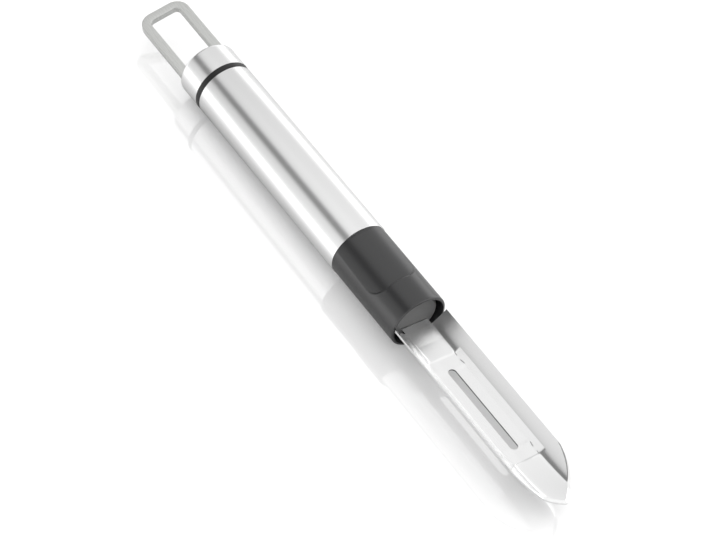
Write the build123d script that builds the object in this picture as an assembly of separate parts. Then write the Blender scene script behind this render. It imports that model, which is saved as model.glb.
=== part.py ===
"""Swivel vegetable peeler: a round steel handle with a hanging loop and a pressed blade that turns.

The handle axis lies along X with the blade tip at +X, and Z is up from the table that it lies on.
Along X, the parts are placed from the rear end of the handle tube, and the finished parts are then
moved so that the origin is at the middle of the peeler, on the table.
The handle has rolled a little about its own axis, and the blade hangs level by its own weight.
"""
import os
from math import asin, atan, cos, degrees, radians, sin, sqrt, tan

from build123d import *

os.makedirs("parts", exist_ok=True)

# Handle tube, with the roll at which the handle lies on the table, in degrees
tube_diameter = 19.0
tube_wall = 0.8
tube_length = 72.1
handle_roll = 16.0

# Spacer ring and end cap at the rear
ring_width = 1.9
cap_length = 9.2
cap_wall = 0.8
cap_shoulder = 1.1

# Hanging loop, bent and stamped from flat bar
loop_reach = 27.7
loop_width = 16.4
loop_bar = 3.1
loop_end_bar = 2.8
loop_thickness = 2.3
loop_outer_corner = 4.6
loop_inner_corner = 1.4
loop_edge = 0.3
loop_leg_in_plug = 13.5
loop_pin_diameter = 1.6
loop_pin_from_leg_end = 4.0

# Rear plug that holds the loop, the cap and the tube
plug_in_tube = 12.0

# The rounded rims of the cap and the collar are turned in this many facets
rim_facets = 2

# Fits
seat_gap = 0.05
pin_running_gap = 0.05
end_play = 0.15
overrun = 1.0

# Front collar, with a scoop for the thumb above and for the finger below
collar_diameter = 18.6
collar_length = 30.6
collar_bore = 15.2
collar_front_round = 0.75
collar_mouth = 16.8
collar_mouth_chamfer = 0.5
scoop_length = 20.6
scoop_floor_radius = 11.0
scoop_rear_depth = 0.75
scoop_front_depth = 1.05
scoop_corner = 3.0
scoop_front_clear = 0.5

# Core inside the collar, with its spigot in the tube and the bulkhead that carries the blade
spigot_length = 14.0
core_hollow = 11.0
bulkhead_thickness = 7.2

# Pivot
pivot_diameter = 4.0
bush_wall = 1.2
washer_diameter = 8.6
washer_thickness = 0.5
clip_diameter = 7.2
clip_thickness = 0.6
clip_groove_depth = 0.4
clip_opening = 2.2
pivot_tail = 1.4
pivot_in_carrier = 3.6

# Blade carrier in the mouth of the collar
carrier_diameter = 15.0
carrier_length = 6.9
carrier_edge = 0.5
root_pin_diameter = 1.8
root_pin_sunk = 0.3
root_pin_spacing = 5.4
root_pin_from_front = 1.9

# Stop pin and the curved groove that it runs in, with the swing each way in degrees
stop_pin_diameter = 1.6
stop_pin_radius = 5.6
stop_pin_stand = 2.0
stop_pin_seat = 3.0
stop_groove_depth = 2.4
swing_each_way = 36.0
swing_margin = 1.0

# Blade: a pressed channel of thin sheet, open side up, with flared sides and a nearly flat floor
sheet = 0.6
blade_width = 18.1
blade_length = 70.3
blade_depth = 4.35
blade_edge_height = 1.55
floor_width = 10.0
floor_sag = 0.3
floor_round = 20.0
bend_radius = 2.0
blade_shoulder_gap = 0.5
shoulder_corner = 0.9
root_width = 9.2
root_in_carrier = 5.4
root_slack = 0.25
nose_radius = 22.0
nose_tip_round = 1.0
keel_radius = 64.0

# Window pressed into the floor of the blade: at each end a step down, then a lip each side of the slot
window_rear = 11.3
window_length = 40.7
window_width = 11.2
wall_foot = 4.7
lip_line = 3.3
wall_drop = 0.31
lip_line_drop = 0.4
lip_drop = 0.38
slot_width = 2.6
slot_length = 31.6
slot_bevel = 42.0
# Along the window, from each end: the place, the wall, the lip line and how far it is pressed down
window_place_share = (0, 0.018, 0.12, 0.15, 0.23)
window_wall_share = (0, 0.2, 0.9, 1, 1)
window_line_share = (0, 0, 0.1, 0.75, 1)
window_drop_share = (0.12, 0.55, 0.9, 1, 1)

# Places along the handle axis
tube_radius = tube_diameter / 2
bore_radius = tube_radius - tube_wall
collar_radius = collar_diameter / 2
ring_rear = -ring_width
cap_rear = ring_rear - cap_length
loop_rear = cap_rear - loop_reach
leg_end = cap_rear + loop_leg_in_plug
collar_rear = tube_length
collar_front = collar_rear + collar_length
scoop_front = collar_rear + scoop_length
core_front = scoop_front + scoop_front_clear
core_bulkhead_rear = core_front - bulkhead_thickness
blade_shoulder = collar_front + blade_shoulder_gap
blade_tip = blade_shoulder + blade_length
washer_rear_face = core_front + end_play
carrier_rear = washer_rear_face + washer_thickness + end_play
carrier_front = carrier_rear + carrier_length
rear_washer_front = core_bulkhead_rear - end_play
clip_front = rear_washer_front - washer_thickness - end_play
clip_rear = clip_front - clip_thickness
pivot_rear = clip_rear - pivot_tail
carrier_radius = carrier_diameter / 2
root_pin_outside = (root_pin_spacing + root_pin_diameter) / 2
root_pin_reach = sqrt(carrier_radius ** 2 - root_pin_outside ** 2) - root_pin_sunk


def rod(radius, start, end):
    """A round rod along the handle axis."""
    return Plane.YZ.offset(start) * extrude_rod(radius, end - start)


def extrude_rod(radius, length):
    """A round rod along its own Z axis, from zero."""
    return Cylinder(radius, length, align=(Align.CENTER, Align.CENTER, Align.MIN))


def rounded_rod(radius, start, end, rim):
    """A round rod along the handle axis whose rim at the start is rounded, in facets."""
    inward = rim if end > start else -rim
    turns = [radians(90) * step / rim_facets for step in range(rim_facets + 1)]
    half = [(start, 0)]
    half += [(start + inward * (1 - cos(turn)), radius - rim * (1 - sin(turn))) for turn in turns]
    half += [(end, radius), (end, 0)]
    return revolve(make_face(Polyline(*half, close=True)), Axis.X)


def flat_block(start, end, width, thickness):
    """A block along the handle axis, centred on it."""
    block = Box(end - start, width, thickness)
    return Pos((start + end) / 2, 0, 0) * block


def upright(plan, low, high):
    """A plan outline made solid between two heights."""
    return extrude(Pos(0, 0, low) * plan, high - low)


def make_handle_tube():
    return rod(tube_radius, 0, tube_length) - rod(bore_radius, 0, tube_length)


def make_spacer_ring():
    return rod(tube_radius, ring_rear, 0) - rod(bore_radius, ring_rear, 0)


def loop_legs(gap):
    """The two legs of the loop as blocks, grown by a gap, to cut their ways in cap and plug."""
    leg_middle = (loop_width - loop_bar) / 2
    leg = Box(loop_leg_in_plug, loop_bar + 2 * gap, loop_thickness + 2 * gap)
    leg_at = Pos((cap_rear + leg_end) / 2, 0, 0)
    return [leg_at * Pos(0, side * leg_middle, 0) * leg for side in (-1, 1)]


def make_end_cap():
    """A drawn cup: rounded shoulder, flat rear face with a slot for each leg of the loop."""
    cup = rounded_rod(tube_radius, cap_rear, ring_rear, cap_shoulder)
    cup -= rod(bore_radius, cap_rear + cap_wall, ring_rear)
    for way in loop_legs(seat_gap):
        cup -= way
    return cup


def make_hanging_loop():
    """Flat bar in a U: a rounded end bar and two legs that run into the plug."""
    length = leg_end - loop_rear
    outer = Pos((loop_rear + leg_end) / 2, 0) * Rectangle(length, loop_width)
    outer = fillet(outer.vertices().group_by(Axis.X)[0], loop_outer_corner)
    inner_length = length - loop_end_bar
    inner = Pos(leg_end - inner_length / 2, 0) * Rectangle(inner_length, loop_width - 2 * loop_bar)
    inner = fillet(inner.vertices().group_by(Axis.X)[0], loop_inner_corner)
    bar = extrude(outer - inner, loop_thickness / 2, both=True)
    rims = bar.edges().filter_by(GeomType.CIRCLE).sort_by(SortBy.RADIUS)[-4:]
    bar = chamfer(rims, loop_edge)
    pin_at = Pos(leg_end - loop_pin_from_leg_end, 0, 0)
    return bar - pin_at * Cylinder(loop_pin_diameter / 2, loop_width, rotation=(90, 0, 0))


def make_loop_pin():
    """Steel pin across both legs, which keeps the loop in the plug."""
    pin_at = Pos(leg_end - loop_pin_from_leg_end, 0, 0)
    length = 2 * (bore_radius - tube_wall)
    return pin_at * Cylinder(loop_pin_diameter / 2, length, rotation=(90, 0, 0))


def make_rear_plug():
    """Moulded plug with a pocket for each leg; it centres the cap, the ring and the tube."""
    radius = bore_radius - seat_gap
    plug = rod(radius, cap_rear + cap_wall, plug_in_tube)
    for way in loop_legs(seat_gap):
        plug -= way
    pin_at = Pos(leg_end - loop_pin_from_leg_end, 0, 0)
    return plug - pin_at * Cylinder(loop_pin_diameter / 2, tube_diameter, rotation=(90, 0, 0))


def make_scoop():
    """What the thumb scoop takes away above the axis: a rounded plan, down to a wide round floor."""
    plan_length = scoop_length + overrun
    plan = Pos(scoop_front - plan_length / 2, 0) * Rectangle(plan_length, tube_diameter)
    plan = fillet(plan.vertices().group_by(Axis.X)[-1], scoop_corner)
    block = upright(plan, 0, tube_diameter)
    slope = degrees(atan((scoop_front_depth - scoop_rear_depth) / scoop_length))
    floor_axis = collar_radius - scoop_rear_depth - scoop_floor_radius
    floor = rod(scoop_floor_radius, -tube_diameter, scoop_length + tube_diameter)
    floor = Pos(collar_rear, 0, floor_axis) * Rot(0, slope, 0) * floor
    return block - floor


def make_front_collar():
    """Soft moulded sleeve, scooped above and below, with a thin rounded lip at its mouth."""
    sleeve = rounded_rod(collar_radius, collar_front, collar_rear, collar_front_round)
    scoop = make_scoop()
    sleeve -= scoop
    sleeve -= Rot(180, 0, 0) * scoop
    sleeve -= rod(collar_bore / 2, collar_rear, core_front)
    mouth_radius = collar_mouth / 2
    sleeve -= rod(mouth_radius, core_front, collar_front)
    flare = Cone(mouth_radius, mouth_radius + collar_mouth_chamfer, collar_mouth_chamfer)
    flare_at = Pos(collar_front - collar_mouth_chamfer / 2, 0, 0) * Rot(0, 90, 0)
    return sleeve - flare_at * flare


def make_collar_core():
    """Hard core: a spigot in the tube, the seat of the collar, and a bulkhead for the pivot."""
    core = rod(bore_radius - seat_gap, collar_rear - spigot_length, collar_rear)
    core += rod(collar_bore / 2, collar_rear, core_front)
    core -= rod(core_hollow / 2, collar_rear - spigot_length, core_bulkhead_rear)
    core -= rod(pivot_diameter / 2 + bush_wall, core_bulkhead_rear, core_front)
    return core - rod_at_stop(stop_pin_diameter / 2, core_front - stop_pin_seat, core_front)


def rod_at_stop(radius, start, end):
    """A rod along the axis at the place of the stop pin, above the pivot."""
    return Pos(0, 0, stop_pin_radius) * rod(radius, start, end)


def make_pivot_bush():
    """Plain bush pressed in the bulkhead; the pivot turns in it."""
    body = rod(pivot_diameter / 2 + bush_wall, core_bulkhead_rear, core_front)
    return body - rod(pivot_diameter / 2 + pin_running_gap, core_bulkhead_rear, core_front)


def make_stop_pin():
    return rod_at_stop(stop_pin_diameter / 2, core_front - stop_pin_seat, core_front + stop_pin_stand)


def make_washer(start):
    hole = rod(pivot_diameter / 2 + seat_gap, start, start + washer_thickness)
    return rod(washer_diameter / 2, start, start + washer_thickness) - hole


def make_retaining_clip():
    """Open ring that snaps into the groove of the pivot."""
    ring = rod(clip_diameter / 2, clip_rear, clip_front)
    ring -= rod(pivot_diameter / 2 - clip_groove_depth, clip_rear, clip_front)
    opening = flat_block(clip_rear, clip_front, clip_opening, clip_diameter / 2)
    return ring - Pos(0, 0, -clip_diameter / 4) * opening


def make_pivot_pin():
    """Shaft on the handle axis: grooved for the clip, and fast in the carrier."""
    shaft = rod(pivot_diameter / 2, pivot_rear, carrier_rear + pivot_in_carrier)
    groove = rod(pivot_diameter / 2, clip_rear, clip_front)
    groove -= rod(pivot_diameter / 2 - clip_groove_depth, clip_rear, clip_front)
    return shaft - groove


# Blade section, as heights from the handle axis and distances across it
half_width = blade_width / 2
half_floor = floor_width / 2
floor_height = blade_edge_height - blade_depth
bend_height = floor_height + floor_sag
floor_slope = atan(floor_sag / half_floor)
floor_round_half = floor_round * sin(floor_slope)
nose_length = sqrt(2 * nose_radius * half_width - half_width ** 2)
nose_start = blade_tip - nose_length
root_rear = carrier_front - root_in_carrier

# Slope of the flared sides, and how deep their sheet is when cut upright
side_slope = atan((blade_edge_height - bend_height) / (half_width - half_floor))
side_upright = sheet / cos(side_slope)


def face_height(across):
    """Height of the upper face of the plain channel at a distance across it."""
    if across > half_floor:
        return bend_height + (across - half_floor) * tan(side_slope)
    if across > floor_round_half:
        return floor_height + floor_sag * across / half_floor
    return floor_height + floor_round / cos(floor_slope) - sqrt(floor_round ** 2 - across ** 2)


def channel_section(at):
    """Section of the channel, wider than the blade: a flared side each side of a shallow floor."""
    wide = half_width + overrun
    top = blade_edge_height + blade_depth
    side = [(wide, top), (wide, face_height(wide)), (half_floor, bend_height)]
    far_side = [(-across, height) for across, height in reversed(side)]
    hollow = make_face(Polyline(*side, (0, floor_height), *far_side, close=True))
    low_corners = hollow.vertices().sort_by(Axis.Y)
    hollow = fillet(low_corners[1:3], bend_radius)
    hollow = fillet(hollow.vertices().sort_by(Axis.Y)[:1], floor_round)
    lid = Pos(0, top + overrun) * Rectangle(2 * blade_width, 2 * overrun)
    return Plane.YZ.offset(at) * (offset(hollow, sheet) - hollow - lid)


def blade_plan():
    """Outline seen from above: shoulders, straight sides and two arcs that meet at the tip."""
    edge = half_width
    turn = asin(nose_length / nose_radius) / 2
    ahead = nose_start + nose_radius * sin(turn)
    across = edge - nose_radius * (1 - cos(turn))
    side = Line((blade_shoulder, edge), (nose_start, edge))
    nose = ThreePointArc((nose_start, edge), (ahead, across), (blade_tip, 0))
    far_nose = ThreePointArc((blade_tip, 0), (ahead, -across), (nose_start, -edge))
    far_side = Line((nose_start, -edge), (blade_shoulder, -edge))
    back = Line((blade_shoulder, -edge), (blade_shoulder, edge))
    body = make_face(side + nose + far_nose + far_side + back)
    body = fillet(body.vertices().sort_by(Axis.X)[-1:], nose_tip_round)
    return fillet(body.vertices().group_by(Axis.X)[0], shoulder_corner)


def window_section(at, wall_share, line_share, drop_share):
    """Section of the pressed window at one place; the shares say how far each fold has formed."""
    wall = window_width / 2
    foot = half_floor + (wall_foot - half_floor) * wall_share
    line = foot + (lip_line - foot) * line_share - sheet * (1 - line_share) / 2
    slot = slot_width / 2
    half = [
        (wall, face_height(wall), side_upright),
        (foot, face_height(foot) - wall_drop * drop_share, sheet),
        (line, face_height(line) - lip_line_drop * drop_share, sheet),
        (slot, face_height(slot) - lip_drop * drop_share, sheet),
    ]
    top = [(across, height) for across, height, deep in half]
    top += [(-across, height) for across, height, deep in reversed(half)]
    under = [(-across, height - deep) for across, height, deep in half]
    under += [(across, height - deep) for across, height, deep in reversed(half)]
    return Plane.YZ.offset(at) * make_face(Polyline(*top, *under, close=True))


def make_window():
    """Pressed floor of the blade between its two steps, with lips that slope down to the slot."""
    rear = blade_shoulder + window_rear
    shares = list(zip(window_place_share, window_wall_share, window_line_share, window_drop_share))
    sections = [window_section(rear + window_length * place, *rest) for place, *rest in shares]
    for place, *rest in reversed(shares):
        sections.append(window_section(rear + window_length * (1 - place), *rest))
    return loft(sections, ruled=True)


def make_slot():
    """Slot with ground sides: narrow at the upper face, open towards the under face."""
    middle_of_window = blade_shoulder + window_rear + window_length / 2
    edge_height = face_height(slot_width / 2) - lip_drop
    outline = SlotOverall(slot_length, slot_width)
    slot = extrude(outline, -blade_depth, taper=-slot_bevel)
    slot += extrude(outline, blade_depth)
    return Pos(middle_of_window, 0, edge_height) * slot


def make_blade():
    """Pressed channel blade: root, shoulders, pointed nose, and the slotted window in its floor."""
    straight = extrude(channel_section(root_rear), nose_start - root_rear)
    turn = degrees((nose_length + overrun) / keel_radius)
    keel_axis = Axis((nose_start, 0, floor_height + keel_radius), (0, -1, 0))
    bow = revolve(channel_section(nose_start), keel_axis, turn)
    low = floor_height - sheet - overrun
    high = blade_edge_height + overrun
    root_length = blade_shoulder + shoulder_corner - root_rear
    root = Pos(root_rear + root_length / 2, 0) * Rectangle(root_length, root_width)
    outline = upright(blade_plan(), low, high) + upright(root, low, high)
    blade = (straight + bow) & outline
    rear = blade_shoulder + window_rear
    opening = Pos(rear + window_length / 2, 0) * Rectangle(window_length, window_width)
    blade -= upright(opening, low, high)
    blade += make_window()
    return blade - make_slot()


def root_pins(gap, reach):
    """Two pins across the carrier and the root of the blade, grown by a gap, up to a height."""
    pin = upright(Circle(root_pin_diameter / 2 + gap), -reach, reach)
    ahead = carrier_front - root_pin_from_front
    return [Pos(ahead, side * root_pin_spacing / 2, 0) * pin for side in (-1, 1)]


def make_blade_carrier(blade):
    """Round block that grips the root of the blade and turns on the pivot."""
    block = rod(carrier_radius, carrier_rear, carrier_front)
    block = chamfer(block.edges().sort_by(Axis.X)[-1:], carrier_edge)
    block -= rod(pivot_diameter / 2, carrier_rear, carrier_rear + pivot_in_carrier)
    pin_half_angle = degrees(asin(stop_pin_diameter / 2 / stop_pin_radius))
    half_angle = swing_each_way + pin_half_angle + swing_margin
    groove_half = stop_pin_diameter / 2 + end_play
    groove = rod(stop_pin_radius + groove_half, carrier_rear, carrier_rear + stop_groove_depth)
    groove -= rod(stop_pin_radius - groove_half, carrier_rear, carrier_rear + stop_groove_depth)
    reach = carrier_diameter
    side = (reach * sin(radians(half_angle)), reach * cos(radians(half_angle)))
    wedge = make_face(Polyline((0, 0), side, (-side[0], side[1]), close=True))
    wedge = extrude(Plane.YZ.offset(carrier_rear) * wedge, stop_groove_depth)
    block -= groove & wedge
    block -= blade
    block -= Pos(0, 0, root_slack) * blade
    for hole in root_pins(0, carrier_radius):
        block -= hole
    return block


def drill_blade(blade):
    """Holes for the two pins in the root."""
    for hole in root_pins(seat_gap, carrier_radius):
        blade -= hole
    return blade


# The finished peeler lies on z = 0 with its length centred on the origin
solid_blade = make_blade()
middle = (loop_rear + solid_blade.bounding_box().max.X) / 2
place = Pos(-middle, 0, tube_radius)
roll = Rot(handle_roll, 0, 0)


def save(shape, name, on_handle):
    """Write one part where it lies: handle parts are rolled with the handle, blade parts are level."""
    lying = roll * shape if on_handle else shape
    export_step(place * lying, f"parts/{name}.step")


save(make_hanging_loop(), "hanging_loop", True)
save(make_loop_pin(), "loop_pin", True)
save(make_rear_plug(), "rear_plug", True)
save(make_end_cap(), "end_cap", True)
save(make_spacer_ring(), "spacer_ring", True)
save(make_handle_tube(), "handle_tube", True)
save(make_collar_core(), "collar_core", True)
save(make_front_collar(), "front_collar", True)
save(make_pivot_bush(), "pivot_bush", True)
save(make_stop_pin(), "stop_pin", True)

save(drill_blade(solid_blade), "blade", False)
save(make_blade_carrier(solid_blade), "blade_carrier", False)
save(Compound(children=root_pins(0, root_pin_reach)), "root_pins", False)
save(make_pivot_pin(), "pivot_pin", False)
save(make_washer(washer_rear_face), "front_washer", False)
save(make_washer(rear_washer_front - washer_thickness), "rear_washer", False)
save(make_retaining_clip(), "retaining_clip", False)
print(f"overall length {2 * (middle - loop_rear):.1f} mm, middle at {middle:.2f} mm, swing from rest "
      f"{handle_roll - swing_each_way:.0f} to {handle_roll + swing_each_way:.0f} degrees")
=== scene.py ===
import math

import bmesh
import bpy
from mathutils import Matrix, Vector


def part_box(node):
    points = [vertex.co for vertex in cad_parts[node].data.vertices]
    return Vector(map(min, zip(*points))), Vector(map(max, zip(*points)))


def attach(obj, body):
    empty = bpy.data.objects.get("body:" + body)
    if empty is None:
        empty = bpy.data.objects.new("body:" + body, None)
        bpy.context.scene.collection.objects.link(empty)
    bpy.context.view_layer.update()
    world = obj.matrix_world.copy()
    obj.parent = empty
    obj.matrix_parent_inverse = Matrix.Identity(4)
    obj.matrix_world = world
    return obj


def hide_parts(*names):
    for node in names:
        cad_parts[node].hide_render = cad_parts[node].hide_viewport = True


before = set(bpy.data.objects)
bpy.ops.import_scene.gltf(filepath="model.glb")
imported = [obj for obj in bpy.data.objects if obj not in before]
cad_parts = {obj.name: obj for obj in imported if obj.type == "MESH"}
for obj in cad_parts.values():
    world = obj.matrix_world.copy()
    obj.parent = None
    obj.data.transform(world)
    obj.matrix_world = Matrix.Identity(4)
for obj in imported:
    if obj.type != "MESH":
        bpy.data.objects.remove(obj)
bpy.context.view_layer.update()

# The camera: a long lens, high at the right front of the peeler, tilted a little so that the handle
# runs down across the picture from the upper left. Its place is a real one, in the peeler's frame.
view_place = (0.35742, -0.35374, 0.53391)
view_azimuth = math.radians(44.76)
view_elevation = math.radians(46.85)
view_roll = math.radians(14.42)
picture_width = 716
focal_pixels = 2500
nearest_seen = 0.01
farthest_seen = 20
bpy.ops.object.camera_add(location=view_place)
camera = bpy.context.object
camera.name = "camera"
turn = Matrix.Rotation(view_azimuth, 3, "Z") @ Matrix.Rotation(math.pi / 2 - view_elevation, 3, "X")
camera.rotation_euler = (turn @ Matrix.Rotation(view_roll, 3, "Z")).to_euler()
camera.data.sensor_fit = "HORIZONTAL"
camera.data.lens = camera.data.sensor_width * focal_pixels / picture_width
camera.data.clip_start = nearest_seen
camera.data.clip_end = farthest_seen
bpy.context.scene.camera = camera
bpy.context.scene.view_settings.view_transform = "Standard"

# The light: a white studio of long panels that run beside the handle. The brightest stands low on the
# far side, a dark gap high on the near side draws the dark streak along the steel, and the rear end is
# darker. Matt surfaces are lit by a softbox overhead, and the camera itself sees plain white.
panel_angles = (-180, 0, 5, 25, 32, 42, 56, 76, 92, 106, 116, 122, 139, 142.5, 146, 151, 162, 180)
panel_levels = (0.95, 1.1, 1.7, 1.7, 1.0, 0.86, 0.86, 0.88, 0.92,
                0.9, 0.86, 0.24, 0.2, 0.62, 0.8, 0.84, 0.86, 0.95)
length_places = (-1, -0.96, -0.92, -0.8, -0.55, -0.4, -0.2, 1)
length_levels = (0.2, 0.25, 0.78, 0.84, 0.98, 1.03, 1.12, 1.15)
second_hand_levels = (1, 0.3)
softbox_heights = (0.6, 0.85)
softbox_levels = (0.35, 1.9)
white = (1, 1, 1, 1)


def arithmetic(tree, operation, *values):
    """The result of a sum on values that are numbers or the outputs of other nodes."""
    step = tree.nodes.new("ShaderNodeMath")
    step.operation = operation
    for socket, value in zip(step.inputs, values):
        if isinstance(value, bpy.types.NodeSocket):
            tree.links.new(value, socket)
        else:
            socket.default_value = value
    return step.outputs[0]


def rescaled(tree, value, given, wanted, soft=False):
    """A value carried over from the range given to the range wanted, and held at both ends."""
    carried = tree.nodes.new("ShaderNodeMapRange")
    carried.interpolation_type = "SMOOTHSTEP" if soft else "LINEAR"
    carried.inputs["From Min"].default_value = given[0]
    carried.inputs["From Max"].default_value = given[1]
    carried.inputs["To Min"].default_value = wanted[0]
    carried.inputs["To Max"].default_value = wanted[1]
    tree.links.new(value, carried.inputs["Value"])
    return carried.outputs["Result"]


def grey_ramp(tree, share, places, levels):
    """Grey levels at places between 0 and 1, with an even change from each to the next."""
    ramp = tree.nodes.new("ShaderNodeValToRGB")
    while len(ramp.color_ramp.elements) < len(places):
        ramp.color_ramp.elements.new(1)
    for stop, place, level in zip(ramp.color_ramp.elements, places, levels):
        stop.position = place
        stop.color = (level, level, level, 1)
    tree.links.new(share, ramp.inputs["Fac"])
    return ramp.outputs["Color"]


def mixed(tree, share, first, second):
    """The first shader, giving way to the second as the share goes from 0 to 1."""
    mix = tree.nodes.new("ShaderNodeMixShader")
    tree.links.new(share, mix.inputs["Fac"])
    tree.links.new(first, mix.inputs[1])
    tree.links.new(second, mix.inputs[2])
    return mix.outputs[0]


world = bpy.data.worlds.new("studio")
bpy.context.scene.world = world
world.use_nodes = True
tree = world.node_tree
tree.nodes.clear()
seen = tree.nodes.new("ShaderNodeLightPath")
direction = tree.nodes.new("ShaderNodeTexCoord")
split = tree.nodes.new("ShaderNodeSeparateXYZ")
tree.links.new(direction.outputs["Generated"], split.inputs[0])
# The panels go round the handle by their angle, counted from the far side upwards.
angle = arithmetic(tree, "ARCTAN2", split.outputs["Z"], split.outputs["Y"])
round_handle = rescaled(tree, angle, (-math.pi, math.pi), (0, 1))
panels = grey_ramp(tree, round_handle, [(degrees + 180) / 360 for degrees in panel_angles], panel_levels)
along_handle = rescaled(tree, split.outputs["X"], (-1, 1), (0, 1))
length = grey_ramp(tree, along_handle, [(x + 1) / 2 for x in length_places], length_levels)
# What the steel throws on matt surfaces is weaker than what it shows.
second_hand = rescaled(tree, seen.outputs["Diffuse Depth"], (0, 1), second_hand_levels)
studio = tree.nodes.new("ShaderNodeBackground")
tree.links.new(panels, studio.inputs["Color"])
tree.links.new(arithmetic(tree, "MULTIPLY", length, second_hand), studio.inputs["Strength"])
softbox = tree.nodes.new("ShaderNodeBackground")
overhead = rescaled(tree, split.outputs["Z"], softbox_heights, softbox_levels)
tree.links.new(overhead, softbox.inputs["Strength"])
plain = tree.nodes.new("ShaderNodeBackground")
plain.inputs["Color"].default_value = white
light = mixed(tree, seen.outputs["Is Diffuse Ray"], studio.outputs[0], softbox.outputs[0])
backdrop = mixed(tree, seen.outputs["Is Camera Ray"], light, plain.outputs[0])
world_out = tree.nodes.new("ShaderNodeOutputWorld")
tree.links.new(backdrop, world_out.inputs["Surface"])

# The table: a white glossy board, wide enough to fill every view. It takes the soft shadow under the
# handle and a faint mirror image of the peeler. It is lifted to white for the camera, except close under
# the blade, where the missing lift leaves a painted shadow.
board_reach = 3.0
board_whiteness = (0.92, 0.15)
reflection_as_bounce = 0.25
gloss_roughness = 0.015
gloss_shares = (0.26, 0.1)
glow_places = (-0.010, -0.045)
glow_levels = (0.08, 0.9)
second_reflection = 1.5
# Where the painted shadow under the blade lies, and how its edge fades out.
painted_shadow_middle = (0.062, 0.004, 0)
painted_shadow_half_length = 0.027
painted_shadow_edge = (0.0025, 0.008)
lift_levels = (0.0, 0.28)
bpy.ops.mesh.primitive_plane_add(size=2 * board_reach)
board = bpy.context.object
board.name = "white_board"
paint = bpy.data.materials.new("white_board_gloss")
paint.use_nodes = True
tree = paint.node_tree
tree.nodes.clear()
seen = tree.nodes.new("ShaderNodeLightPath")
reflected = seen.outputs["Is Glossy Ray"]
# The paint is dimmer at second hand, and a little dimmer in reflections, where the gloss is weaker too.
bounces = arithmetic(tree, "MULTIPLY_ADD", reflected, reflection_as_bounce, seen.outputs["Diffuse Depth"])
matt = tree.nodes.new("ShaderNodeBsdfDiffuse")
tree.links.new(rescaled(tree, bounces, (0, 1), board_whiteness), matt.inputs["Color"])
gloss = tree.nodes.new("ShaderNodeBsdfGlossy")
gloss.inputs["Color"].default_value = white
gloss.inputs["Roughness"].default_value = gloss_roughness
gloss_share = rescaled(tree, reflected, (0, 1), gloss_shares)
coat = mixed(tree, gloss_share, matt.outputs[0], gloss.outputs[0])
# In a first reflection the board glows on the near side of the handle.
place = tree.nodes.new("ShaderNodeTexCoord")
split = tree.nodes.new("ShaderNodeSeparateXYZ")
tree.links.new(place.outputs["Object"], split.inputs[0])
glow = rescaled(tree, split.outputs["Y"], glow_places, glow_levels, soft=True)
mirrored = arithmetic(tree, "MULTIPLY", reflected, glow)
once = arithmetic(tree, "LESS_THAN", seen.outputs["Ray Depth"], second_reflection)
mirrored_once = arithmetic(tree, "MULTIPLY", mirrored, once)
# The camera's lift grows with the distance from a short strip under the blade, so the strip keeps a painted
# shadow.
offset = place.outputs["Object"]
strip_steps = (("SUBTRACT", painted_shadow_middle), ("ABSOLUTE", (0, 0, 0)),
               ("SUBTRACT", (painted_shadow_half_length, 0, 0)), ("MAXIMUM", (0, 0, 0)))
for operation, other in strip_steps:
    step = tree.nodes.new("ShaderNodeVectorMath")
    step.operation = operation
    step.inputs[1].default_value = other
    tree.links.new(offset, step.inputs[0])
    offset = step.outputs[0]
distance = tree.nodes.new("ShaderNodeVectorMath")
distance.operation = "LENGTH"
tree.links.new(offset, distance.inputs[0])
open_board = rescaled(tree, distance.outputs["Value"], painted_shadow_edge, lift_levels, soft=True)
lift_level = arithmetic(tree, "MULTIPLY_ADD", seen.outputs["Is Camera Ray"], open_board, mirrored_once)
lift = tree.nodes.new("ShaderNodeEmission")
lift.inputs["Color"].default_value = white
tree.links.new(lift_level, lift.inputs["Strength"])
together = tree.nodes.new("ShaderNodeAddShader")
tree.links.new(coat, together.inputs[0])
tree.links.new(lift.outputs[0], together.inputs[1])
board_out = tree.nodes.new("ShaderNodeOutputMaterial")
tree.links.new(together.outputs[0], board_out.inputs["Surface"])
board.data.materials.append(paint)

# Handle tube: thin stainless steel tube with a fine satin finish, plain all round. It is cut square,
# its two rims are broken, and it is pushed over the rear plug and the core of the front grip.
tube_low, tube_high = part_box("handle_tube")
tube_radius = 0.0095
tube_wall = 0.0008
tube_sides = 192
rim_round = 0.00015
axis_height = tube_radius
edge_angle = math.radians(35)
handle_colour = (0.86, 0.86, 0.86)
handle_roughness = (0.22, 0.28)
marks_round_handle = (9000, 260, 260)
satin_relief = (0.15, 0.00001)


def deselect():
    bpy.ops.object.select_all(action="DESELECT")


def along_axis(name, start, end, radius, sides, fill="NOTHING"):
    """A cylinder along the handle axis, with its place in its mesh."""
    deselect()
    bpy.ops.mesh.primitive_cylinder_add(
        vertices=sides, radius=radius, depth=end - start, end_fill_type=fill,
        location=((start + end) / 2, 0, axis_height), rotation=(0, math.pi / 2, 0))
    piece = bpy.context.object
    piece.name = name
    bpy.ops.object.transform_apply(location=True, rotation=True, scale=True)
    return piece


def wall_inwards(piece, thickness):
    """A modifier that gives a shell its wall, inside its outer face."""
    wall = piece.modifiers.new("wall", "SOLIDIFY")
    wall.thickness = thickness
    wall.offset = -1
    return wall


def rounded(piece, width, segments=3):
    """A modifier that rounds the real edges of a piece."""
    edges = piece.modifiers.new("edges", "BEVEL")
    edges.width = width
    edges.segments = segments
    edges.limit_method = "ANGLE"
    edges.angle_limit = edge_angle
    return edges


def finish(piece, modifiers):
    """Applies the modifiers and shades the piece smooth, with its real edges kept."""
    deselect()
    piece.select_set(True)
    bpy.context.view_layer.objects.active = piece
    for modifier in modifiers:
        bpy.ops.object.modifier_apply(modifier=modifier.name)
    bpy.ops.object.shade_smooth_by_angle(angle=edge_angle)


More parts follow.
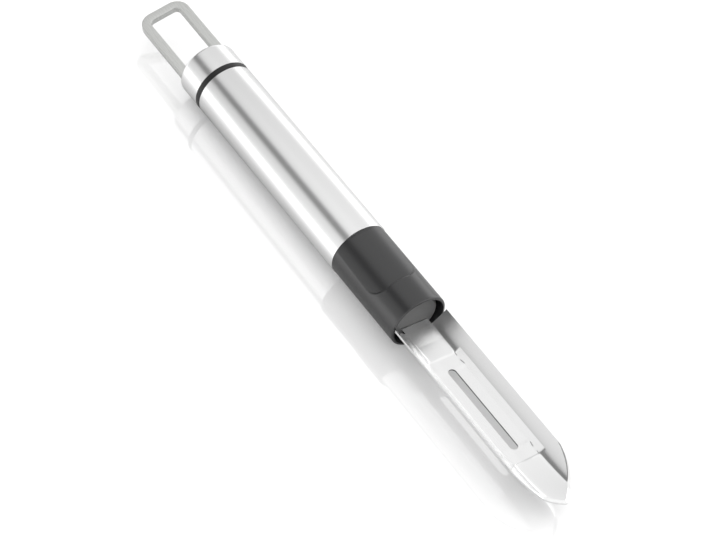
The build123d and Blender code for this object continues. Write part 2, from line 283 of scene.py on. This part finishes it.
def grain(tree, fineness, detail=2):
    """Fine noise fixed to its piece, with about so many grains to the metre along each axis."""
    place = tree.nodes.new("ShaderNodeTexCoord")
    stretch = tree.nodes.new("ShaderNodeMapping")
    stretch.inputs["Scale"].default_value = fineness
    noise = tree.nodes.new("ShaderNodeTexNoise")
    noise.inputs["Scale"].default_value = 1
    noise.inputs["Detail"].default_value = detail
    tree.links.new(place.outputs["Object"], stretch.inputs["Vector"])
    tree.links.new(stretch.outputs["Vector"], noise.inputs["Vector"])
    return noise.outputs["Fac"]


def grained(name, colour, roughness, fineness, detail=2, metallic=0, relief=None):
    """A material whose roughness goes between two values with its grain. A relief is the strength and
    the depth at which the grain stands out."""
    material = bpy.data.materials.new(name)
    material.use_nodes = True
    tree = material.node_tree
    surface = tree.nodes["Principled BSDF"]
    surface.inputs["Metallic"].default_value = metallic
    surface.inputs["Base Color"].default_value = (*colour, 1)
    marks = grain(tree, fineness, detail)
    tree.links.new(rescaled(tree, marks, (0, 1), roughness), surface.inputs["Roughness"])
    if relief:
        strength, depth = relief
        bumps = tree.nodes.new("ShaderNodeBump")
        bumps.inputs["Strength"].default_value = strength
        bumps.inputs["Distance"].default_value = depth
        tree.links.new(marks, bumps.inputs["Height"])
        tree.links.new(bumps.outputs["Normal"], surface.inputs["Normal"])
    return material


def satin_metal(name, colour, roughness, fineness):
    """Bare metal with fine brush marks, which run across the axis with the finest grain."""
    return grained(name, colour, roughness, fineness, detail=3, metallic=1, relief=satin_relief)


tube = along_axis("handle_tube_shell", tube_low.x, tube_high.x, tube_radius, tube_sides)
finish(tube, [wall_inwards(tube, tube_wall), rounded(tube, rim_round)])
handle_steel = satin_metal("handle_satin_steel", handle_colour, handle_roughness, marks_round_handle)
tube.data.materials.append(handle_steel)
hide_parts("handle_tube")
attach(tube, "handle")

# Spacer ring: a black moulded ring on the rear plug, between the tube and the end cap. It stands a hair
# below the steel on both sides.
ring_low, ring_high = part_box("spacer_ring")
ring_drop = 0.00005
ring_colour = (0.006, 0.006, 0.006)
ring_roughness = (0.38, 0.5)
ring_grain = (4000, 4000, 4000)
ring = along_axis("spacer_ring_shell", ring_low.x, ring_high.x, tube_radius - ring_drop, tube_sides)
finish(ring, [wall_inwards(ring, tube_wall), rounded(ring, rim_round)])
ring_plastic = grained("ring_black_plastic", ring_colour, ring_roughness, ring_grain)
ring.data.materials.append(ring_plastic)
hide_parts("spacer_ring")
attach(ring, "handle")

# End cap: a drawn steel cup with a rounded shoulder, pushed over the rear plug. Its flat rear face is
# slotted for the two legs of the hanging loop, which have a hair of room all round.
cap_low, cap_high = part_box("end_cap")
cap_shoulder = 0.0011
shoulder_steps = 8
round_profile = 0.5
handle_roll = math.radians(16)
loop_width = 0.0164
loop_bar = 0.0031
loop_thickness = 0.0023
leg_room = 0.00012
leg_cutter_length = 0.0135
square_on = 0.9
same_place = 0.000001


def cut_out(piece, cutter):
    """A modifier that takes the cutter's shape out of the piece."""
    cut = piece.modifiers.new("slot", "BOOLEAN")
    cut.operation = "DIFFERENCE"
    cut.object = cutter
    cut.solver = "EXACT"
    return cut


cap = along_axis("end_cap_shell", cap_low.x, cap_high.x, tube_radius, tube_sides, fill="NGON")
shell = bmesh.new()
shell.from_mesh(cap.data)
front = [face for face in shell.faces if face.normal.x > square_on]
bmesh.ops.delete(shell, geom=front, context="FACES_ONLY")
rear_rim = [e for e in shell.edges if all(abs(v.co.x - cap_low.x) < same_place for v in e.verts)]
bmesh.ops.bevel(shell, geom=rear_rim, offset=cap_shoulder, segments=shoulder_steps,
                profile=round_profile, affect="EDGES")
shell.to_mesh(cap.data)
shell.free()
wall = wall_inwards(cap, tube_wall)
bpy.ops.object.modifier_apply(modifier=wall.name)
rear_middle = Matrix.Translation((cap_low.x, 0, axis_height)) @ Matrix.Rotation(handle_roll, 4, "X")
leg_cuts = []
for side in (-1, 1):
    deselect()
    bpy.ops.mesh.primitive_cube_add(size=1)
    cutter = bpy.context.object
    cutter.scale = (leg_cutter_length, loop_bar + 2 * leg_room, loop_thickness + 2 * leg_room)
    bpy.ops.object.transform_apply(scale=True)
    cutter.data.transform(rear_middle @ Matrix.Translation((0, side * (loop_width - loop_bar) / 2, 0)))
    leg_cuts.append(cut_out(cap, cutter))
leg_cutters = [cut.object for cut in leg_cuts]
finish(cap, leg_cuts)
for cutter in leg_cutters:
    bpy.data.objects.remove(cutter)
cap.data.materials.append(handle_steel)
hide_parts("end_cap")
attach(cap, "handle")

# Hanging loop: flat stainless bar, stamped as a U with a rounded end, satin on its faces. Its legs run
# through the cap into the plug, where a pin holds them.
loop_low, loop_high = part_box("hanging_loop")
loop_corner = 0.0046
loop_end_bar = 0.0028
loop_edge = 0.0003
loop_corner_steps = 14
loop_edge_steps = 4
loop_colour = (0.635, 0.64, 0.625)
loop_roughness = (0.23, 0.33)
marks_along_loop = (260, 9000, 260)
deselect()
bpy.ops.mesh.primitive_plane_add(size=1)
loop = bpy.context.object
loop.name = "hanging_loop_bar"
blank_end = loop_high.x + 2 * loop_bar
loop.scale = (blank_end - loop_low.x, loop_width, 1)
loop.location = ((blank_end + loop_low.x) / 2, 0, 0)
bpy.ops.object.transform_apply(location=True, scale=True)
bpy.ops.object.mode_set(mode="EDIT")
bpy.ops.mesh.select_mode(type="VERT")
bpy.ops.mesh.select_all(action="DESELECT")
outline = bmesh.from_edit_mesh(loop.data)
for vertex in outline.verts:
    vertex.select_set(abs(vertex.co.x - loop_low.x) < same_place)
outline.select_flush_mode()
bmesh.update_edit_mesh(loop.data)
bpy.ops.mesh.bevel(offset=loop_corner, segments=loop_corner_steps, affect="VERTICES")
bpy.ops.mesh.select_all(action="SELECT")
bpy.ops.mesh.select_mode(type="FACE")
bpy.ops.mesh.inset(thickness=loop_bar)
bpy.ops.mesh.delete(type="FACE")
bpy.ops.mesh.select_mode(type="VERT")
# The end bar is a little narrower than the legs.
outline = bmesh.from_edit_mesh(loop.data)
inner_end = loop_low.x + loop_bar
for vertex in outline.verts:
    inside = abs(vertex.co.y) < loop_width / 2 - loop_bar + same_place
    if inside and inner_end - same_place < vertex.co.x < inner_end + loop_corner:
        vertex.co.x -= loop_bar - loop_end_bar
bmesh.update_edit_mesh(loop.data)
bpy.ops.mesh.select_all(action="SELECT")
bpy.ops.mesh.bisect(plane_co=(loop_high.x, 0, 0), plane_no=(1, 0, 0), clear_outer=True)
bpy.ops.object.mode_set(mode="OBJECT")
thick = loop.modifiers.new("thick", "SOLIDIFY")
thick.thickness = loop_thickness
thick.offset = 0
finish(loop, [thick, rounded(loop, loop_edge, segments=loop_edge_steps)])
loop.data.transform(Matrix.Translation((0, 0, axis_height)) @ Matrix.Rotation(handle_roll, 4, "X"))
loop_steel = satin_metal("loop_satin_steel", loop_colour, loop_roughness, marks_along_loop)
loop.data.materials.append(loop_steel)
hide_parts("hanging_loop")
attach(loop, "handle")

# Front collar: a soft dark sleeve moulded over the core. A thumb scoop above and a finger scoop below
# have a wide round floor that ends in a step, and the mouth has a thin rounded lip.
collar_low, collar_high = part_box("front_collar")
collar_radius = 0.0093
scoop_length = 0.0206
scoop_floor = 0.011
scoop_rear_depth = 0.00075
scoop_front_depth = 0.00105
scoop_side = 0.0078
scoop_corner = 0.0042
scoop_step = 0.0004
mouth_radius = 0.0084
mouth_depth = 0.0095
mouth_edge_width = 0.0001
mouth_edge_depth = 0.0003
lip_round = 0.0006
collar_rings = 170
collar_sides = 288
collar_colour = (0.018, 0.018, 0.019)
collar_roughness = (0.26, 0.34)
collar_grain = (6000, 6000, 6000)
collar_relief = (0.12, 0.00002)
collar_sheen = 0.85


def scoop_radius(along, angle):
    """Distance of the collar's face from the handle axis; the angle is counted from the scoop's middle."""
    depth = scoop_rear_depth + (scoop_front_depth - scoop_rear_depth) * along / scoop_length
    drop = scoop_floor + depth - collar_radius
    floor = -drop * math.cos(angle) + math.sqrt(scoop_floor ** 2 - (drop * math.sin(angle)) ** 2)
    if floor > collar_radius:
        return collar_radius
    across = abs(collar_radius * math.sin(angle))
    past_side = max(across - (scoop_side - scoop_corner), 0)
    past_front = max(along - (scoop_length - scoop_corner), 0)
    inside = scoop_corner - math.hypot(past_side, past_front) if past_front > 0 else scoop_step
    step = min(max(inside / scoop_step, 0), 1)
    step = step * step * (3 - 2 * step)
    return collar_radius + (floor - collar_radius) * step


def move_out(vertex, factor):
    """Moves a vertex out from the handle axis, or in towards it."""
    vertex.co.y *= factor
    vertex.co.z = axis_height + (vertex.co.z - axis_height) * factor


collar = along_axis("front_collar_sleeve", collar_low.x, collar_high.x, collar_radius, collar_sides)
bpy.ops.object.mode_set(mode="EDIT")
bpy.ops.mesh.select_all(action="DESELECT")
sleeve = bmesh.from_edit_mesh(collar.data)
half_length = (collar_high.x - collar_low.x) / 2
long_edges = [e for e in sleeve.edges if abs(e.verts[0].co.x - e.verts[1].co.x) > half_length]
bmesh.ops.subdivide_edges(sleeve, edges=long_edges, cuts=collar_rings, use_grid_fill=False)
for vertex in sleeve.verts:
    angle = math.atan2(vertex.co.y, vertex.co.z - axis_height) + handle_roll
    if abs(math.remainder(angle, 2 * math.pi)) > math.pi / 2:
        angle += math.pi
    radius = scoop_radius(vertex.co.x - collar_low.x, math.remainder(angle, 2 * math.pi))
    move_out(vertex, radius / collar_radius)
for edge in sleeve.edges:
    if all(abs(vertex.co.x - collar_high.x) < same_place for vertex in edge.verts):
        edge.select_set(True)
for vertex in sleeve.verts:
    short = collar_high.x - vertex.co.x
    if short < lip_round:
        pull = lip_round - math.sqrt(lip_round ** 2 - (lip_round - short) ** 2)
        move_out(vertex, (collar_radius - pull) / collar_radius)
bmesh.update_edit_mesh(collar.data)
# From the lip the face turns in over a small edge and runs back as the wall of the mouth.
mouth_steps = ((mouth_radius + mouth_edge_width, 0), (mouth_radius, mouth_edge_depth),
               (mouth_radius, mouth_depth))
for radius, depth in mouth_steps:
    bpy.ops.mesh.extrude_region_move(TRANSFORM_OT_translate={"value": (0, 0, 0)})
    sleeve = bmesh.from_edit_mesh(collar.data)
    for vertex in sleeve.verts:
        if vertex.select:
            vertex.co.x = collar_high.x - depth
            move_out(vertex, radius / math.hypot(vertex.co.y, vertex.co.z - axis_height))
    bmesh.update_edit_mesh(collar.data)
bpy.ops.mesh.select_all(action="SELECT")
bpy.ops.mesh.normals_make_consistent(inside=False)
bpy.ops.object.mode_set(mode="OBJECT")
finish(collar, [])
grip = grained("collar_soft_rubber", collar_colour, collar_roughness, collar_grain,
               detail=4, relief=collar_relief)
grip.node_tree.nodes["Principled BSDF"].inputs["Specular IOR Level"].default_value = collar_sheen
collar.data.materials.append(grip)
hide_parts("front_collar")
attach(collar, "handle")

# Blade: polished stainless sheet, pressed to a channel with flared sides and a nearly flat floor
# that turns up at the pointed nose. Round the slot a window is pressed down, with a step at each end, a
# wall along each side and two lips that slope to the slot. The rim of the nose is ground to a bevel.
blade_low, blade_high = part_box("blade")
sheet = 0.0006
blade_half_width = (blade_high.y - blade_low.y) / 2
blade_edge = blade_high.z
channel_depth = 0.0046
floor_height = blade_edge - channel_depth
bend_across = 0.00445
bend_round = 0.0008
side_bulge = 0.00003
shoulder = 0.0360
root_half_width = 0.0046
nose_radius = 0.022
tip_round = 0.001
keel_radius = 0.064
tip_centre = blade_high.x - tip_round
nose_start = tip_centre - math.sqrt((nose_radius - tip_round) ** 2 - (nose_radius - blade_half_width) ** 2)
tip_join = nose_start + nose_radius * (tip_centre - nose_start) / (nose_radius - tip_round)
nose_bevel_start = 0.089
nose_bevel_full = 0.103
nose_bevel_width = 0.0010
nose_bevel_depth = 0.0005
steepest_rim = 0.8


def plan_half_width(along):
    """Half the width of the blade, seen from above."""
    if along <= nose_start:
        return blade_half_width
    if along <= tip_join:
        past = along - nose_start
        return math.sqrt(nose_radius ** 2 - past ** 2) - (nose_radius - blade_half_width)
    return math.sqrt(max(tip_round ** 2 - (along - tip_centre) ** 2, 0))


def channel_height(across):
    """Height of the plain channel's upper face above its floor, with a soft bend each side."""
    share = (abs(across) - bend_across) / (blade_half_width - bend_across)
    side = (blade_edge - floor_height) * share - 4 * side_bulge * share * (1 - share)
    return side / 2 + math.hypot(side, bend_round) / 2


# The window in the floor: its walls, lips and steps, by their distance from the blade's middle line, and
# how far each has come at places given as shares of the window's length from its nearer end.
ramp_end = 0.0415
ramp_rise = 0.0004
window_rear = 0.0473
window_length = 0.0407
window_wall = 0.0061
wall_foot = 0.00475
lip_line = 0.0033
slot_half = 0.0013
wall_drop = 0.0006
lip_line_drop = 0.0003
lip_drop = 0.0004
window_place_share = (0, 0.012, 0.12, 0.15, 0.23)
window_wall_share = (0, 0.2, 0.9, 1, 1)
window_line_share = (0, 0, 0.1, 0.75, 1)
window_drop_share = (0, 0.75, 0.92, 1, 1)


def between(places, values, at):
    """The value at a place, on straight runs between the places given."""
    for left, right, low, high in zip(places, places[1:], values, values[1:]):
        if at <= right:
            return low + (high - low) * (at - left) / (right - left)
    return values[-1]


def upper_face(along, across):
    """Height of the blade's upper face at a place seen from above."""
    height = channel_height(across)
    before_ramp = min(max((ramp_end - along) / (ramp_end - shoulder), 0), 1)
    height += ramp_rise * before_ramp * (1 - abs(across) / blade_half_width)
    share = (along - window_rear) / window_length
    if 0 < share < 1 and abs(across) < window_wall:
        near_end = min(share, 1 - share)
        wall_share = between(window_place_share, window_wall_share, near_end)
        line_share = between(window_place_share, window_line_share, near_end)
        drop = between(window_place_share, window_drop_share, near_end)
        foot = bend_across + (wall_foot - bend_across) * wall_share
        line = foot + (lip_line - foot) * line_share - sheet * (1 - line_share) / 2
        places = (0, slot_half, line, foot, window_wall)
        drops = (lip_drop, lip_drop, lip_line_drop, wall_drop, 0)
        heights = [channel_height(place) - fall * drop for place, fall in zip(places, drops)]
        height = between(places, heights, abs(across))
    past = max(along - nose_start, 0)
    reach = keel_radius - height
    height = keel_radius - math.sqrt(reach ** 2 - past ** 2)
    ground = min(max((along - nose_bevel_start) / (nose_bevel_full - nose_bevel_start), 0), 1)
    if ground > 0:
        slope = past / nose_radius if along < tip_join else steepest_rim
        from_rim = (plan_half_width(along) - abs(across)) * math.sqrt(1 - min(slope, steepest_rim) ** 2)
        width = nose_bevel_width * ground
        if from_rim < width:
            height -= nose_bevel_depth * ground * (1 - from_rim / width)
    return floor_height + height


# The sheet is a grid with a line on every crease, laid on the upper face and made thick downwards.
column_step = 0.00026
row_step = 0.0002
tip_columns = 10
rim_strip = 0.00015
creases = [window_rear + window_length * s for s in window_place_share]
creases += [window_rear + window_length * (1 - s) for s in window_place_share]
columns = [blade_low.x + column_step * i for i in range(int((blade_high.x - blade_low.x) / column_step))]
columns = [x for x in columns if all(abs(x - c) > column_step / 3 for c in creases + [shoulder])]
columns = [x for x in columns if x < tip_join - column_step]
columns += creases + [shoulder]
tip_turns = [math.radians(90 * i / tip_columns) for i in range(tip_columns + 1)]
columns += [tip_join + (blade_high.x - tip_join) * math.sin(tip_turn) for tip_turn in tip_turns]
columns.sort()
folds = [slot_half, lip_line, wall_foot, bend_across, window_wall]
folds += [blade_half_width - rim_strip, blade_half_width]
rows = [row_step * i for i in range(int(blade_half_width / row_step))]
rows = [y for y in rows if all(abs(y - f) > row_step / 3 for f in folds)] + folds
rows = sorted({-y for y in rows} | set(rows))
deselect()
bpy.ops.mesh.primitive_grid_add(x_subdivisions=len(columns) - 1, y_subdivisions=len(rows) - 1, size=1)
blade = bpy.context.object
blade.name = "blade_sheet"
for index, vertex in enumerate(blade.data.vertices):
    along = columns[index % len(columns)]
    across = rows[index // len(columns)]
    if along > nose_start:
        across *= plan_half_width(along) / blade_half_width
    vertex.co = (along, across, upper_face(along, across))
bpy.ops.object.mode_set(mode="EDIT")
pressing = bmesh.from_edit_mesh(blade.data)
beside_root = []
for face in pressing.faces:
    middle = face.calc_center_median()
    if middle.x < shoulder and abs(middle.y) > root_half_width:
        beside_root.append(face)
bmesh.ops.delete(pressing, geom=beside_root, context="FACES")
for face in pressing.faces:
    face.select_set(True)
bmesh.update_edit_mesh(blade.data)
weld_distance = 0.0000001
bpy.ops.mesh.remove_doubles(threshold=weld_distance)
bpy.ops.mesh.extrude_region_move(TRANSFORM_OT_translate={"value": (0, 0, 0)})
pressing = bmesh.from_edit_mesh(blade.data)
nearby = 0.0001
steepest_side = 1.3
for vertex in pressing.verts:
    if vertex.select:
        along = vertex.co.x
        across = vertex.co.y
        slope = (upper_face(along, abs(across) + nearby) - upper_face(along, abs(across))) / nearby
        vertex.co.z -= sheet * math.sqrt(1 + min(slope, steepest_side) ** 2)
bmesh.update_edit_mesh(blade.data)
bpy.ops.mesh.select_all(action="SELECT")
bpy.ops.mesh.normals_make_consistent(inside=False)
bpy.ops.object.mode_set(mode="OBJECT")

# The slot is punched through the window's floor, and opens by a hair on its way down.
slot_length = 0.0316
slot_flare = 0.00005
slot_middle = window_rear + window_length / 2
slot_top = floor_height - lip_drop
cutter_reach = 0.004
cutter_sides = 48
deselect()
bpy.ops.mesh.primitive_cylinder_add(vertices=cutter_sides, radius=slot_half, depth=sheet)
slot_cutter = bpy.context.object
for vertex in slot_cutter.data.vertices:
    side = 1 if vertex.co.x > 0 else -1
    if vertex.co.z < 0:
        vertex.co.x *= 1 + slot_flare / slot_half
        vertex.co.y *= 1 + slot_flare / slot_half
    vertex.co.x += side * (slot_length / 2 - slot_half) + slot_middle
    vertex.co.z = slot_top - sheet if vertex.co.z < 0 else slot_top
bpy.ops.object.mode_set(mode="EDIT")
bpy.ops.mesh.select_mode(type="FACE")
for up in (1, -1):
    bpy.ops.mesh.select_all(action="DESELECT")
    shape = bmesh.from_edit_mesh(slot_cutter.data)
    for face in shape.faces:
        from_middle = face.calc_center_median().z - (slot_top - sheet / 2)
        face.select_set(abs(face.normal.z) > square_on and from_middle * up > 0)
    bmesh.update_edit_mesh(slot_cutter.data)
    bpy.ops.mesh.extrude_region_move(TRANSFORM_OT_translate={"value": (0, 0, up * cutter_reach)})
bpy.ops.mesh.select_all(action="SELECT")
bpy.ops.mesh.normals_make_consistent(inside=False)
bpy.ops.object.mode_set(mode="OBJECT")
finish(blade, [cut_out(blade, slot_cutter)])
bpy.data.objects.remove(slot_cutter)

# The polish has brush marks across the blade, which draw each reflection out along its length.
polish_colour = (0.96, 0.96, 0.96)
polish_roughness = (0.18, 0.24)
polish_haze = (900, 900, 900)
polish_spread = 0.95
polish = grained("blade_polished_steel", polish_colour, polish_roughness, polish_haze, detail=4, metallic=1)
tree = polish.node_tree
surface = tree.nodes["Principled BSDF"]
length = tree.nodes.new("ShaderNodeVectorTransform")
length.vector_type = "VECTOR"
length.convert_from = "OBJECT"
length.convert_to = "WORLD"
length.inputs[0].default_value = (1, 0, 0)
tree.links.new(length.outputs[0], surface.inputs["Tangent"])
surface.inputs["Anisotropic"].default_value = polish_spread
blade.data.materials.append(polish)

# The wall of the slot is left as the punch tore it, dull and rough; its dark grey is painted shade for the
# wall in shadow.
slot_wall_shade_levels = (0.22, 0.34)
slot_wall_grain = (3000, 3000, 3000)
torn_roughness = 0.5
wall_lean = 0.8
punched = bpy.data.materials.new("blade_slot_wall_painted_shade")
punched.use_nodes = True
tree = punched.node_tree
surface = tree.nodes["Principled BSDF"]
surface.inputs["Metallic"].default_value = 1
surface.inputs["Roughness"].default_value = torn_roughness
tree.links.new(grey_ramp(tree, grain(tree, slot_wall_grain), (0, 1), slot_wall_shade_levels), surface.inputs["Base Color"])
blade.data.materials.append(punched)
# The faces of the slot's wall take the painted shade.
for wall in blade.data.polygons:
    in_length = abs(wall.center.x - slot_middle) < slot_length / 2 + slot_flare + nearby
    in_width = abs(wall.center.y) < slot_half + slot_flare + nearby
    if in_length and in_width and abs(wall.normal.z) < wall_lean:
        wall.material_index = 1
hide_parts("blade")
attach(blade, "swivel_blade")

# Moulded blocks of grey plastic, as the construction model has them: the carrier, which fills the
# collar's mouth and turns with the blade, whose root enters its slit; the core under the collar, which
# carries the pivot; and the rear plug, which holds cap, ring, tube and loop together.
block_colour = (0.26, 0.26, 0.26)
block_roughness = (0.4, 0.55)
block_grain = (5000, 5000, 5000)


def dress(names, material):
    """Gives pieces of the construction model their material."""
    for name in names:
        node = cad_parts[name]
        node.data.materials.clear()
        node.data.materials.append(material)


grey_plastic = grained("carrier_grey_plastic", block_colour, block_roughness, block_grain)
dress(("blade_carrier", "collar_core", "rear_plug"), grey_plastic)

# Small turned and bent pieces of plain steel: the pivot pin with its two washers and its clip, the pins
# through the blade's root, the stop pin, and the pin across the loop's legs.
small_colour = (0.6, 0.6, 0.6)
small_roughness = (0.25, 0.35)
marks_round_pin = (9000, 300, 300)
turned_steel = satin_metal("turned_steel", small_colour, small_roughness, marks_round_pin)
dress(("pivot_pin", "front_washer", "rear_washer", "retaining_clip"), turned_steel)
dress(("root_pins", "stop_pin", "loop_pin"), turned_steel)

# Pivot bush: a flanged bush of sintered bronze, pressed in the core, in which the pivot pin turns. Its
# grain is even all round.
bronze_colour = (0.6, 0.43, 0.2)
bronze_roughness = (0.36, 0.48)
bronze_grain = (2500, 2500, 2500)
bronze = satin_metal("sintered_bronze", bronze_colour, bronze_roughness, bronze_grain)
dress(("pivot_bush",), bronze)
